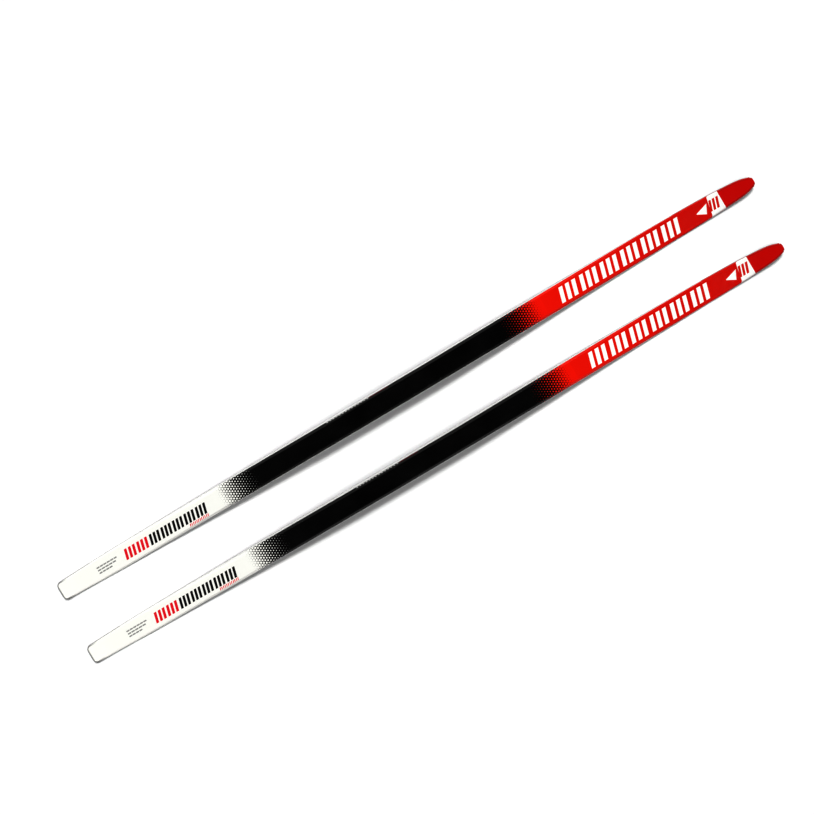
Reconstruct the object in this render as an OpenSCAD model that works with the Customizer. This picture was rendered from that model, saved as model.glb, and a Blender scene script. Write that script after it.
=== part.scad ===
// A pair of junior cross country skis for the skating technique, without bindings.
// The left ski is on the +Y side, the tips point to +X, and both stand on the plane Z = 0.
// Each ski is a glued sandwich: running base, two glass laminates, a wood core with two
// air channels, sloping sidewalls, tip and tail spacers, and a bevelled topsheet.

/* [Ski] */
// Length over the floor, from tail to tip
ski_len = 1400; // [1200:10:1700]
// Width of the base under the boot and at the rear contact
waist_w = 44; // [42:0.5:48]
// Width of the base at the front contact
front_w = 42.5; // [39:0.5:46]
// Thickness under the boot, before the binding platform is planed flat
waist_t = 26; // [22:0.5:30]
// Thickness at the tail and in the shovel
end_t = 5.5; // [5.2:0.1:7]

/* [Side view] */
// Height of the unloaded arch under the boot
camber = 22; // [12:1:32]
// Height of the underside of the tip above the floor
tip_rise = 16; // [12:1:40]
// Height of the underside of the tail above the floor
tail_rise = 4; // [0:0.5:10]
// Depth planed off the crown to make the flat binding platform
platform_cut = 3; // [1:0.1:4]

/* [Layers] */
// Running base
base_t = 1.3; // [1:0.1:1.6]
// Each of the two glass laminates
laminate_t = 0.7; // [0.5:0.1:0.8]
// Printed topsheet
sheet_t = 0.7; // [0.5:0.1:0.8]
// Width of the guide groove in the base
groove_w = 8; // [6:0.5:10]
// Depth of the guide groove along the running surface
groove_d = 0.9; // [0.5:0.1:1]

/* [Core] */
// Width of the middle stringer
centre_w = 6; // [4:0.5:8]
// Width of each air channel
channel_w = 4.5; // [3:0.5:5]
// Length of the hardwood blocks that take the binding screws
block_len = 280; // [200:40:360]

/* [Pair] */
// Distance between the centrelines of the two skis
pair_gap = 123; // [80:1:200]
// How far the left ski lies ahead of the right one
stagger = 13; // [0:1:60]
// Angle that each ski is turned outwards
splay = 0.05; // [0:0.05:2]

/* [Hidden] */

// Lengthwise places, all measured from the tail.
rear_contact = [70, 120];                      // flat stretch of base on the floor, at the rear
front_contact = [ski_len - 230, ski_len - 170]; // the same at the front, where the shovel begins
tail_spacer_end = 70;
tip_spacer_start = ski_len - 150;
thick_zone = [40, ski_len - 130];              // stretch over which the core thickens
middle = (rear_contact[1] + front_contact[0]) / 2;
block_zone = [middle - block_len / 2, middle + block_len / 2];

// Plan view.
tail_flat = 9.5;      // half of the straight tail edge
tail_corner_r = 7.5;
tip_flat = 3.0;       // half of the straight tip edge
tip_corner_r = 7.0;
outline = [           // [distance from the tail, half width of the base]
    [tail_corner_r, tail_flat + tail_corner_r],
    [40, waist_w / 2 - 4],
    [110, waist_w / 2 - 2],
    [210, waist_w / 2 - 1.1],
    [350, waist_w / 2 - 0.3],
    [ski_len / 2, waist_w / 2],
    [ski_len - 400, front_w / 2 + 0.8],
    [ski_len - 210, front_w / 2],
    [ski_len - 98, front_w / 2 - 2.2],
    [ski_len - 56, front_w / 2 - 4.2],
    [ski_len - 28, front_w / 2 - 6.3],
    [ski_len - 14, front_w / 2 - 8.8],
    [ski_len - tip_corner_r, tip_flat + tip_corner_r]
];

// Cross section.
side_lean = 0.10;     // how far the side leans inwards for each unit of height
bevel_min = 1.8;      // 45 degree bevel of the topsheet at the ends
bevel_max = 4.8;      // and under the boot
end_drop = 1.2;       // how far the top rounds down at the very tip and tail
end_drop_len = 2;
groove_runout = 0.1;  // depth left of the groove in the shovel
miter = tan(22.5);    // corner shift of a layer offset at a 45 degree bend
cap_t = sheet_t + laminate_t;

// Smooth curve through a list of [x, value] pairs.
function slope(t, i) =
    let (a = max(i - 1, 0), b = min(i + 1, len(t) - 1))
    (t[b][1] - t[a][1]) / (t[b][0] - t[a][0]);
function span_at(t, x, i = 0) = (i >= len(t) - 2 || x < t[i + 1][0]) ? i : span_at(t, x, i + 1);
function curve(t, x) =
    let (
        i = span_at(t, x),
        d = t[i + 1][0] - t[i][0],
        u = (x - t[i][0]) / d
    )
    t[i][1] * (2 * u * u * u - 3 * u * u + 1)
    + d * slope(t, i) * (u * u * u - 2 * u * u + u)
    + t[i + 1][1] * (3 * u * u - 2 * u * u * u)
    + d * slope(t, i + 1) * (u * u * u - u * u);

// Half width of the base at x, with round corners at both ends.
function half_w(x) =
    x < tail_corner_r
        ? tail_flat + sqrt(max(0, pow(tail_corner_r, 2) - pow(tail_corner_r - x, 2)))
    : x > ski_len - tip_corner_r
        ? tip_flat + sqrt(max(0, pow(tip_corner_r, 2) - pow(x - ski_len + tip_corner_r, 2)))
    : curve(outline, x);

// Share of the way through a stretch, from 0 to 1.
function share(x, zone) = min(1, max(0, (x - zone[0]) / (zone[1] - zone[0])));

// Underside of the base: tail rise, rear contact, camber arch, front contact, shovel.
function z_under(x) =
    tail_rise * pow(1 - share(x, [0, rear_contact[0]]), 2)
    + camber * pow(sin(180 * share(x, [rear_contact[1], front_contact[0]])), 2)
    + tip_rise * pow(share(x, [front_contact[1], ski_len]), 2);

function end_round(x) =
    end_drop * (1 - share(min(x, ski_len - x), [0, end_drop_len]));
function thickness(x) =
    end_t + (waist_t - end_t) * pow(max(0, sin(180 * share(x, thick_zone))), 1.3) - end_round(x);

// Top of the ski, planed flat where the binding sits.
platform_z = z_under(middle) + thickness(middle) - platform_cut;
function z_top(x) = min(z_under(x) + thickness(x), x > ski_len * 0.75 ? 1e3 : platform_z);

function bevel(x) =
    bevel_min + (bevel_max - bevel_min) * max(0, z_top(x) - z_under(x) - end_t) / (waist_t - end_t);
function z_seat(x) = z_top(x) - bevel(x);            // lower edge of the bevel
function side_y(x, z) = half_w(x) - side_lean * (z - z_under(x));
function seat_y(x) = side_y(x, z_seat(x));
function bend_y(x, depth) = seat_y(x) - bevel(x) - miter * depth;  // where a layer bends down
function foot_y(x, depth) = seat_y(x) - sqrt(2) * depth;           // where it meets the seat
function z_floor(x) = z_under(x) + base_t + laminate_t;            // bottom of the core
function z_roof(x) = z_top(x) - cap_t;                             // top of the core
function groove(x) =
    groove_runout + (groove_d - groove_runout)
        * (1 - share(x, [front_contact[0], front_contact[1] + 40]));

// Stations where cross sections are taken.
tail_stations = [0, 0.8, 2, 4.4, tail_corner_r, 18, 40, tail_spacer_end];
body_stations = [for (x = [rear_contact[1] : 35 : front_contact[0] - 18]) x];
tip_stations = [
    for (d = [230, 200, 170, 150, 128, 106, 84, 66, 50, 36, 24, 14, tip_corner_r, 3.6, 2, 0.8, 0])
        ski_len - d
];
stations = concat(tail_stations, body_stations, tip_stations);
core_stations = [for (x = stations) if (x >= tail_spacer_end && x <= tip_spacer_start) x];
block_stations = concat(
    block_zone[0],
    [for (x = stations) if (x > block_zone[0] + 1 && x < block_zone[1] - 1) x],
    block_zone[1]
);

// Cross sections, as [y, z] points in order round the outline.
function mirrored(half) = concat(half, [for (i = [len(half) - 1 : -1 : 0]) [-half[i][0], half[i][1]]]);
function core_section(x, y0, y1) =
    [[y0, z_floor(x)], [y1, z_floor(x)], [y1, z_roof(x)], [y0, z_roof(x)]];
function cap_section(x, outer, inner) =
    let (
        out = mirrored([[foot_y(x, outer), z_seat(x)], [bend_y(x, outer), z_top(x) - outer]]),
        in = mirrored([[foot_y(x, inner), z_seat(x)], [bend_y(x, inner), z_top(x) - inner]])
    )
    concat(out, [for (i = [len(in) - 1 : -1 : 0]) in[i]]);
function base_section(x) =
    mirrored([
        [groove_w / 2, z_under(x) + groove(x)],
        [groove_w / 2, z_under(x)],
        [half_w(x), z_under(x)],
        [side_y(x, z_under(x) + base_t), z_under(x) + base_t]
    ]);
function laminate_section(x) =
    mirrored([
        [side_y(x, z_under(x) + base_t), z_under(x) + base_t],
        [side_y(x, z_floor(x)), z_floor(x)]
    ]);
function spacer_section(x) =
    mirrored([
        [side_y(x, z_floor(x)), z_floor(x)],
        [seat_y(x), z_seat(x)],
        [foot_y(x, cap_t), z_seat(x)],
        [bend_y(x, cap_t), z_roof(x)]
    ]);
function sidewall_section(x) = [
    [foot_y(x, cap_t), z_floor(x)],
    [side_y(x, z_floor(x)), z_floor(x)],
    [seat_y(x), z_seat(x)],
    [foot_y(x, cap_t), z_seat(x)]
];
function side_stringer_section(x) = [
    [centre_w / 2 + channel_w, z_floor(x)],
    [foot_y(x, cap_t), z_floor(x)],
    [foot_y(x, cap_t), z_seat(x)],
    [bend_y(x, cap_t), z_roof(x)],
    [centre_w / 2 + channel_w, z_roof(x)]
];

// How the end of a hollow cross section divides into faces that fan out from their first point.
cap_end = [[0, 1, 6, 7], [1, 2, 5, 6], [2, 3, 4, 5]];
base_end = [[0, 1, 2, 3], [0, 3, 4, 7], [4, 5, 6, 7]];
spacer_end = [[0, 1, 2, 5, 6, 7], [2, 3, 4, 5]];

// A solid through the cross sections at the places xs.
module loft(xs, section, end = []) {
    rings = [for (x = xs) section(x)];
    n = len(rings[0]);
    last = (len(xs) - 1) * n;
    near = len(end) > 0 ? end : [[for (j = [0 : n - 1]) j]];
    polyhedron(
        points = [for (i = [0 : len(xs) - 1]) for (p = rings[i]) [xs[i], p[0], p[1]]],
        faces = concat(
            near,
            [for (f = near) [for (j = [0 : len(f) - 1]) last + f[(len(f) - j) % len(f)]]],
            [
                for (i = [0 : len(xs) - 2]) for (j = [0 : n - 1])
                    let (k = (j + 1) % n)
                    [i * n + j, (i + 1) * n + j, (i + 1) * n + k, i * n + k]
            ]
        ),
        convexity = 4
    );
}

// Pieces of one ski. Its tail is at X = 0 and its centreline on Y = 0.
module topsheet() {
    color("firebrick") loft(stations, function (x) cap_section(x, 0, sheet_t), cap_end);
}

module upper_laminate() {
    color("darkseagreen") loft(stations, function (x) cap_section(x, sheet_t, cap_t), cap_end);
}

module lower_laminate() {
    color("darkseagreen") loft(stations, function (x) laminate_section(x));
}

module base() {
    color("dimgray") loft(stations, function (x) base_section(x), base_end);
}

module sidewall() {
    color("white") loft(core_stations, function (x) sidewall_section(x));
}

module side_stringer() {
    color("burlywood") loft(core_stations, function (x) side_stringer_section(x));
}

module centre_stringer() {
    color("burlywood")
        loft(core_stations, function (x) core_section(x, -centre_w / 2, centre_w / 2));
}

module binding_block() {
    color("saddlebrown")
        loft(block_stations, function (x)
            core_section(x, centre_w / 2, centre_w / 2 + channel_w));
}

module tip_spacer() {
    xs = [for (x = stations) if (x >= tip_spacer_start) x];
    color("white") loft(xs, function (x) spacer_section(x), spacer_end);
}

module tail_spacer() {
    xs = [for (x = stations) if (x <= tail_spacer_end) x];
    color("white") loft(xs, function (x) spacer_section(x), spacer_end);
}

module both_sides() {
    children();
    mirror([0, 1, 0]) children();
}

// Puts a ski in the pair: side is 1 for the left ski and -1 for the right one.
module in_pair(side) {
    translate([side * stagger / 2, side * pair_gap / 2, 0])
        rotate([0, 0, side * splay])
            mirror([0, side < 0 ? 1 : 0, 0])
                translate([-ski_len / 2, 0, 0])
                    children();
}

in_pair(1) topsheet();  // left_topsheet
in_pair(1) upper_laminate();  // left_upper_laminate
in_pair(1) sidewall();  // left_outer_sidewall
in_pair(1) mirror([0, 1, 0]) sidewall();  // left_inner_sidewall
in_pair(1) side_stringer();  // left_outer_stringer
in_pair(1) centre_stringer();  // left_centre_stringer
in_pair(1) mirror([0, 1, 0]) side_stringer();  // left_inner_stringer
in_pair(1) both_sides() binding_block();  // left_binding_blocks
in_pair(1) tip_spacer();  // left_tip_spacer
in_pair(1) tail_spacer();  // left_tail_spacer
in_pair(1) lower_laminate();  // left_lower_laminate
in_pair(1) base();  // left_base
in_pair(-1) topsheet();  // right_topsheet
in_pair(-1) upper_laminate();  // right_upper_laminate
in_pair(-1) sidewall();  // right_outer_sidewall
in_pair(-1) mirror([0, 1, 0]) sidewall();  // right_inner_sidewall
in_pair(-1) side_stringer();  // right_outer_stringer
in_pair(-1) centre_stringer();  // right_centre_stringer
in_pair(-1) mirror([0, 1, 0]) side_stringer();  // right_inner_stringer
in_pair(-1) both_sides() binding_block();  // right_binding_blocks
in_pair(-1) tip_spacer();  // right_tip_spacer
in_pair(-1) tail_spacer();  // right_tail_spacer
in_pair(-1) lower_laminate();  // right_lower_laminate
in_pair(-1) base();  // right_base
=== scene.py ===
"""A pair of junior skating skis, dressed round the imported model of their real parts.

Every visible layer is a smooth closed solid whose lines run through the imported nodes, and every
printed mark is a thin film of ink that lies on the topsheet. Lengths are in metres. Along a ski
they are measured from the tail, and across it from the centreline, positive towards +Y.
"""

import logging
import math
from collections.abc import Sequence
from dataclasses import dataclass
from enum import Enum

import bmesh
import bpy
import numpy as np
from mathutils import Matrix, Vector

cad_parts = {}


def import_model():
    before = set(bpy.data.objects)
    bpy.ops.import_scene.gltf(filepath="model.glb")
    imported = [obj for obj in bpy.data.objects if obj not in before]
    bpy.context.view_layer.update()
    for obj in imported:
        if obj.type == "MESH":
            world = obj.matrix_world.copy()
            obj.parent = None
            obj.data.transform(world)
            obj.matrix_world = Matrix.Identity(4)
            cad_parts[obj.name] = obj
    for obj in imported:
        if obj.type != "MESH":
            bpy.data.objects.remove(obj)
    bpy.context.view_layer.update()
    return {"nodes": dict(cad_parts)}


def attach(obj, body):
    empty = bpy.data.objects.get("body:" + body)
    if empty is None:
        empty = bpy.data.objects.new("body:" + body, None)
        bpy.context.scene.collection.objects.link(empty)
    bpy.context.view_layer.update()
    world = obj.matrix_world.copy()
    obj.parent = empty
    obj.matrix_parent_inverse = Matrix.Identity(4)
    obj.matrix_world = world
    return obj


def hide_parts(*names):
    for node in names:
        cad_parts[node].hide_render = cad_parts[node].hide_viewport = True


MARKS = ("along", "across", "rim")
FLOAT, VECTOR = "NodeSocketFloat", "NodeSocketVector"
MM = 0.001
ROOT_2 = math.sqrt(2)
HALF_BEND = math.tan(math.pi / 8)    # tangent length of the bend to the bevel, per radius
SHARP_EDGE = math.radians(34)        # faces that meet at more than this stay sharp
Colour = tuple[float, float, float]
Socket = bpy.types.NodeSocket
Sockets = dict[str, Socket]
Value = Socket | float | Sequence[float]
Corners = Sequence[tuple[float, float]]

log = logging.getLogger("skis")


# ---- named options


class Side(Enum):
    """The two skis of the pair."""

    LEFT = "left"
    RIGHT = "right"

    def named(self, part: str) -> str:
        """Name of a part of this ski."""
        return f"{self.value}_{part}"

    @property
    def body(self) -> str:
        """Name of the body that this ski's pieces ride on."""
        return f"{self.value}_ski"


class Flank(Enum):
    """The two long sides of a ski, by the sign of the distance across."""

    PLUS = 1
    MINUS = -1

    def part(self, side: Side) -> str:
        """Outer or inner, as seen from the gap between the two skis."""
        outwards = Flank.PLUS if side is Side.LEFT else Flank.MINUS
        return "outer" if self is outwards else "inner"


class Ink(Enum):
    """Inks of the topsheet print, as display colours from 0 to 255."""

    CREAM = (240, 240, 235)
    WHITE = (241, 241, 238)
    BLACK = (6, 6, 6)
    # bright red darkening into red towards the tip is painted shade; dark red on the shovel is its
    # own ink and partly painted shade
    BRIGHT_RED = (230, 34, 6)
    RED = (207, 22, 6)
    DARK_RED = (200, 16, 10)
    MARK_RED = (224, 32, 52)
    MAROON = (96, 12, 24)
    GREY = (152, 152, 150)

    @property
    def linear(self) -> Colour:
        """The ink as scene-linear light."""
        shares = (channel / 255 for channel in self.value)
        return tuple(s / 12.92 if s <= 0.04045 else ((s + 0.055) / 1.055) ** 2.4 for s in shares)


# ---- the shape of a ski


class Curve:
    """A smooth line through measured points that never overshoots between two of them."""

    def __init__(self, xs: np.ndarray, ys: np.ndarray) -> None:
        """Finds the slope at each point.

        Args:
            xs: Places of the points, rising.
            ys: Values at those places.
        """
        self.xs, self.ys = xs, ys
        steps = np.diff(xs)
        slopes = np.diff(ys) / steps
        before, after = slopes[:-1], slopes[1:]
        weight_a = 2 * steps[1:] + steps[:-1]
        weight_b = steps[1:] + 2 * steps[:-1]
        rising = before * after > 0
        safe_a = np.where(rising, before, 1.0)
        safe_b = np.where(rising, after, 1.0)
        middle = (weight_a + weight_b) / (weight_a / safe_a + weight_b / safe_b)
        self.slopes = np.concatenate((slopes[:1], np.where(rising, middle, 0.0), slopes[-1:]))

    def __call__(self, x: np.ndarray) -> np.ndarray:
        """Value of the line at x, carried on straight beyond both ends."""
        inside = np.clip(x, self.xs[0], self.xs[-1])
        i = np.clip(np.searchsorted(self.xs, inside) - 1, 0, len(self.xs) - 2)
        step = self.xs[i + 1] - self.xs[i]
        u = (inside - self.xs[i]) / step
        value = (
            self.ys[i] * (1 + 2 * u) * (1 - u) ** 2
            + self.slopes[i] * step * u * (1 - u) ** 2
            + self.ys[i + 1] * u * u * (3 - 2 * u)
            + self.slopes[i + 1] * step * u * u * (u - 1)
        )
        end_slope = np.where(x < inside, self.slopes[0], self.slopes[-1])
        return value + end_slope * (x - inside)


class SkiShape:
    """Smooth outline, side view and cross section of one ski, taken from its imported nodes."""

    sheet: float = 0.7 * MM      # thickness of the topsheet
    cap: float = 1.4 * MM        # topsheet and upper laminate together
    skin: float = 0.05 * MM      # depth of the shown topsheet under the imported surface
    bend_radius: float = 1.6 * MM
    end_rounding: float = 2 * MM
    same_level: float = 0.02 * MM    # heights closer than this are one level
    same_end: float = 0.3 * MM       # points closer than this along the pair are one end
    same_section: float = 0.2 * MM   # points closer than this along the ski are one section
    hair: float = 0.01 * MM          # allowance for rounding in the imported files
    middle_strip: float = 5 * MM     # half width in which the guide groove lies

    def __init__(self, side: Side, nodes: dict[str, bpy.types.Object]) -> None:
        """Measures the ski.

        Args:
            side: Which ski it is.
            nodes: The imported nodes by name.
        """
        self.side = side
        corners = {
            part: self._corners(nodes[side.named(part)])
            for part in ("topsheet", "base", "lower_laminate")
        }
        self.start, self.ahead, self.length = self._axis(corners["topsheet"])
        self.left = np.array((-self.ahead[1], self.ahead[0], 0.0))
        sheet, base, laminate = (self._stations(corners[part]) for part in corners)
        xs = np.array([x for x, _ in sheet])

        def widest(rows: list) -> np.ndarray:
            """Greatest distance across at the lowest level of each row."""
            return np.array([
                abs(ring[ring[:, 1] - ring[:, 1].min() < self.same_level, 0]).max()
                for _, ring in rows
            ])

        def lowest(rows: list) -> np.ndarray:
            """Height of the lowest level of each row."""
            return np.array([ring[:, 1].min() for _, ring in rows])

        def highest(rows: list) -> np.ndarray:
            """Height of the highest level of each row."""
            return np.array([ring[:, 1].max() for _, ring in rows])

        widths, under, top = widest(base), lowest(base), highest(sheet)
        groove = np.array([ring[abs(ring[:, 0]) < self.middle_strip, 1].max() for _, ring in base])
        self.under = Curve(xs, under)
        self.base_t = float(np.median(highest(base) - under))
        self.laminate_t = float(np.median(highest(laminate) - lowest(laminate)))
        self.groove_half = float(min(abs(ring[:, 0]).min() for _, ring in base))
        self.groove_depth = Curve(xs, groove - under)
        self.bevel = Curve(xs, top - lowest(sheet))
        full = self._between(xs, self.end_rounding, self.end_rounding)
        self._full_top = Curve(xs[full], top[full])
        self._top_drop = float(self._full_top(xs[:1])[0] - top[0])
        self.lean = float(np.median((widths - widest(sheet)) / (lowest(sheet) - under)))
        self.tail_r = self._corner_radius(xs, widths)
        self.tip_r = self._corner_radius(self.length - xs[::-1], widths[::-1])
        self.end_flats = (float(widths[0]), float(widths[-1]))
        straight = self._between(xs, self.tail_r, self.tip_r)
        self._mid_width = Curve(xs[straight], widths[straight])

    @staticmethod
    def _corners(node: bpy.types.Object) -> np.ndarray:
        """All corner points of a node, as rows of three numbers."""
        flat = np.zeros(len(node.data.vertices) * 3)
        node.data.vertices.foreach_get("co", flat)
        return flat.reshape(-1, 3)

    def _between(self, xs: np.ndarray, tail_inset: float, tip_inset: float) -> np.ndarray:
        """Which places lie at least that far from the two ends."""
        return (xs >= tail_inset - self.hair) & (xs <= self.length - tip_inset + self.hair)

    def _axis(self, points: np.ndarray) -> tuple[np.ndarray, np.ndarray, float]:
        """Finds the centreline.

        Args:
            points: Corners of the topsheet.

        Returns:
            The tail end on the floor, the unit vector to the tip, and the length.
        """
        ends = []
        for end_x, sign in ((points[:, 0].min(), 1), (points[:, 0].max(), -1)):
            ring = points[sign * (points[:, 0] - end_x) < self.same_end]
            ends.append((ring.min(0) + ring.max(0)) / 2 * np.array((1, 1, 0)))
        way = ends[1] - ends[0]
        length = float(np.linalg.norm(way))
        return ends[0], way / length, length

    def _stations(self, points: np.ndarray) -> list[tuple[float, np.ndarray]]:
        """Groups corners into cross sections.

        Args:
            points: Corners of a node that runs from tail to tip.

        Returns:
            For each section its place along the ski, and rows of distance across and height.
        """
        local = points - self.start
        along, across = local @ self.ahead, local @ self.left
        order = np.argsort(along)
        breaks = np.flatnonzero(np.diff(along[order]) > self.same_section) + 1
        rows = []
        for group in np.split(order, breaks):
            ring = np.column_stack((across[group], points[group, 2]))
            rows.append((float(along[group].mean()), ring))
        return rows

    def _corner_radius(self, xs: np.ndarray, widths: np.ndarray) -> float:
        """Radius of an end corner: there, the width has grown as much as the length."""
        grown = widths - widths[0]
        return float(xs[np.flatnonzero(grown >= xs - self.hair)[-1]])

    def half_width(self, x: np.ndarray) -> np.ndarray:
        """Half width of the base at x, with round corners at both ends."""
        width = self._mid_width(np.clip(x, self.tail_r, self.length - self.tip_r))
        ends = ((x, self.tail_r), (self.length - x, self.tip_r))
        for (inset, radius), flat in zip(ends, self.end_flats):
            reach = np.clip(radius - inset, 0, radius)
            arc = flat + np.sqrt(np.maximum(radius**2 - reach**2, 0))
            width = np.where(inset < radius, arc, width)
        return width

    def top(self, x: np.ndarray) -> np.ndarray:
        """Height of the top surface, which rolls down at both ends."""
        inset = np.clip(np.minimum(x, self.length - x) / self.end_rounding, 0, 1)
        return self._full_top(x) - self._top_drop * (1 - np.sqrt(1 - (1 - inset) ** 2))

    def seat(self, x: np.ndarray) -> np.ndarray:
        """Height of the lower edge of the bevel."""
        return self.top(x) - self.bevel(x)

    def side_y(self, x: np.ndarray, z: np.ndarray) -> np.ndarray:
        """Distance across at which the leaning side stands at height z."""
        return self.half_width(x) - self.lean * (z - self.under(x))

    def foot_y(self, x: np.ndarray, depth: float) -> np.ndarray:
        """Distance across at which a layer of that depth meets the seat."""
        return self.side_y(x, self.seat(x)) - ROOT_2 * depth

    def flat_y(self, x: np.ndarray, depth: float) -> np.ndarray:
        """Half width of the flat of the top, up to where the bend begins."""
        corner = self.side_y(x, self.seat(x)) - self.bevel(x) - HALF_BEND * depth
        return corner - HALF_BEND * (self.bend_radius - depth)

    def cap_at(self, x: np.ndarray, reach: np.ndarray, depth: float) -> np.ndarray:
        """Points of the bevelled top.

        Args:
            x: Places along the ski.
            reach: Signed distance from the centreline over the surface, as wide as x.
            depth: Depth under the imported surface.

        Returns:
            Rows of distance across and height, in the last axis.
        """
        flat, top = self.flat_y(x, depth), self.top(x) - depth
        radius = self.bend_radius - depth
        bend = radius * math.pi / 4
        over = np.abs(reach)
        angle = np.clip((over - flat) / radius, 0, math.pi / 4)
        slope = np.maximum(over - flat - bend, 0) / ROOT_2
        y = np.minimum(over, flat) + radius * np.sin(angle) + slope
        z = top - radius * (1 - np.cos(angle)) - slope
        return np.stack((np.sign(reach) * y, z), axis=-1)

    def bevel_reach(self, x: np.ndarray, depth: float) -> tuple[np.ndarray, np.ndarray]:
        """Distance over the surface at which the bevel begins, and at which it ends."""
        begin = self.flat_y(x, depth) + (self.bend_radius - depth) * math.pi / 4
        bend_y = self.cap_at(x, begin, depth)[..., 0]
        return begin, begin + (self.foot_y(x, depth) - bend_y) * ROOT_2

    def world(self, x: np.ndarray, y: np.ndarray, z: np.ndarray) -> np.ndarray:
        """Turns places in the ski into points of the shared frame."""
        axes = np.stack((self.ahead, self.left, (0.0, 0.0, 1.0)))
        return self.start + np.stack((x, y, z), -1) @ axes

    def places(self, first: float, last: float, step: float = 6 * MM) -> np.ndarray:
        """Places of cross sections from first to last, denser round the corners."""
        count = max(2, round((last - first) / step) + 1)
        turns = 1 - np.cos(np.linspace(0, math.pi / 2, 11))
        tail, tip = self.tail_r * turns, self.length - self.tip_r * turns
        body = np.linspace(first, last, count)
        body = body[(body > self.tail_r + step / 3) & (body < self.length - self.tip_r - step / 3)]
        every = np.unique(np.concatenate((tail, body, tip, (first, last))).round(7))
        return every[(every >= first - 1e-6) & (every <= last + 1e-6)]


# ---- meshes


class SolidBuilder:
    """Collects closed shells, each between a near and a far grid of points, into one mesh."""

    def __init__(self, shape: SkiShape) -> None:
        """Starts an empty mesh on the given ski."""
        self.shape = shape
        self.points: list[np.ndarray] = []
        self.faces: list[np.ndarray] = []
        self.marks: list[np.ndarray] = []

    def add(self, x: np.ndarray, near: np.ndarray, far: np.ndarray,
            rim: float | Sequence[float] = 0.0) -> None:
        """Adds one closed shell.

        Args:
            x: Place along the ski of each point of the grid, in rows by columns.
            near: Distance across and height of the near grid.
            far: The same for the far grid.
            rim: How close each column is to an edge that wears, from 0 to 1.
        """
        rows, columns = near.shape[:2]
        x = np.broadcast_to(x, (rows, columns))
        first = sum(len(block) for block in self.points)
        index = first + np.arange(2 * rows * columns).reshape(2, rows, columns)
        for layer in index:
            quads = (layer[:-1, :-1], layer[1:, :-1], layer[1:, 1:], layer[:-1, 1:])
            self.faces.append(np.stack(quads, -1).reshape(-1, 4))
        for edge in (index[:, 0], index[:, -1], index[:, :, 0], index[:, :, -1]):
            quads = (edge[0, :-1], edge[0, 1:], edge[1, 1:], edge[1, :-1])
            self.faces.append(np.stack(quads, -1))
        for grid in (near, far):
            self.points.append(self.shape.world(x, grid[..., 0], grid[..., 1]).reshape(-1, 3))
            worn = np.broadcast_to(rim, x.shape)
            self.marks.append(np.stack((x, grid[..., 0], worn), -1).reshape(-1, 3))

    def build(self, name: str) -> bpy.types.Object:
        """Makes the object, with outward faces and its places along and across as attributes."""
        mesh = bpy.data.meshes.new(name)
        mesh.from_pydata(np.concatenate(self.points).tolist(), [],
                         np.concatenate(self.faces).tolist())
        work = bmesh.new()
        work.from_mesh(mesh)
        bmesh.ops.recalc_face_normals(work, faces=work.faces)
        work.to_mesh(mesh)
        work.free()
        marks = np.concatenate(self.marks).astype(np.float32)
        for column, key in enumerate(MARKS):
            layer = mesh.attributes.new(key, "FLOAT", "POINT")
            layer.data.foreach_set("value", np.ascontiguousarray(marks[:, column]))
        mesh.polygons.foreach_set("use_smooth", np.ones(len(mesh.polygons), bool))
        mesh.set_sharp_from_angle(angle=SHARP_EDGE)
        mesh.validate()
        piece = bpy.data.objects.new(name, mesh)
        bpy.context.scene.collection.objects.link(piece)
        return piece


def grid_of(line: Sequence[tuple[np.ndarray, np.ndarray]]) -> np.ndarray:
    """Grid with one column for each distance across and height, which vary along the ski."""
    return np.stack([np.stack(np.broadcast_arrays(y, z), -1) for y, z in line], axis=1)


def both_ways(half: np.ndarray) -> np.ndarray:
    """Mirrors the grid of half a cross section, which ends on the centreline."""
    return np.concatenate((half, half[:, -2::-1] * np.array((-1.0, 1.0))), axis=1)


# ---- node sketches and groups


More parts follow.
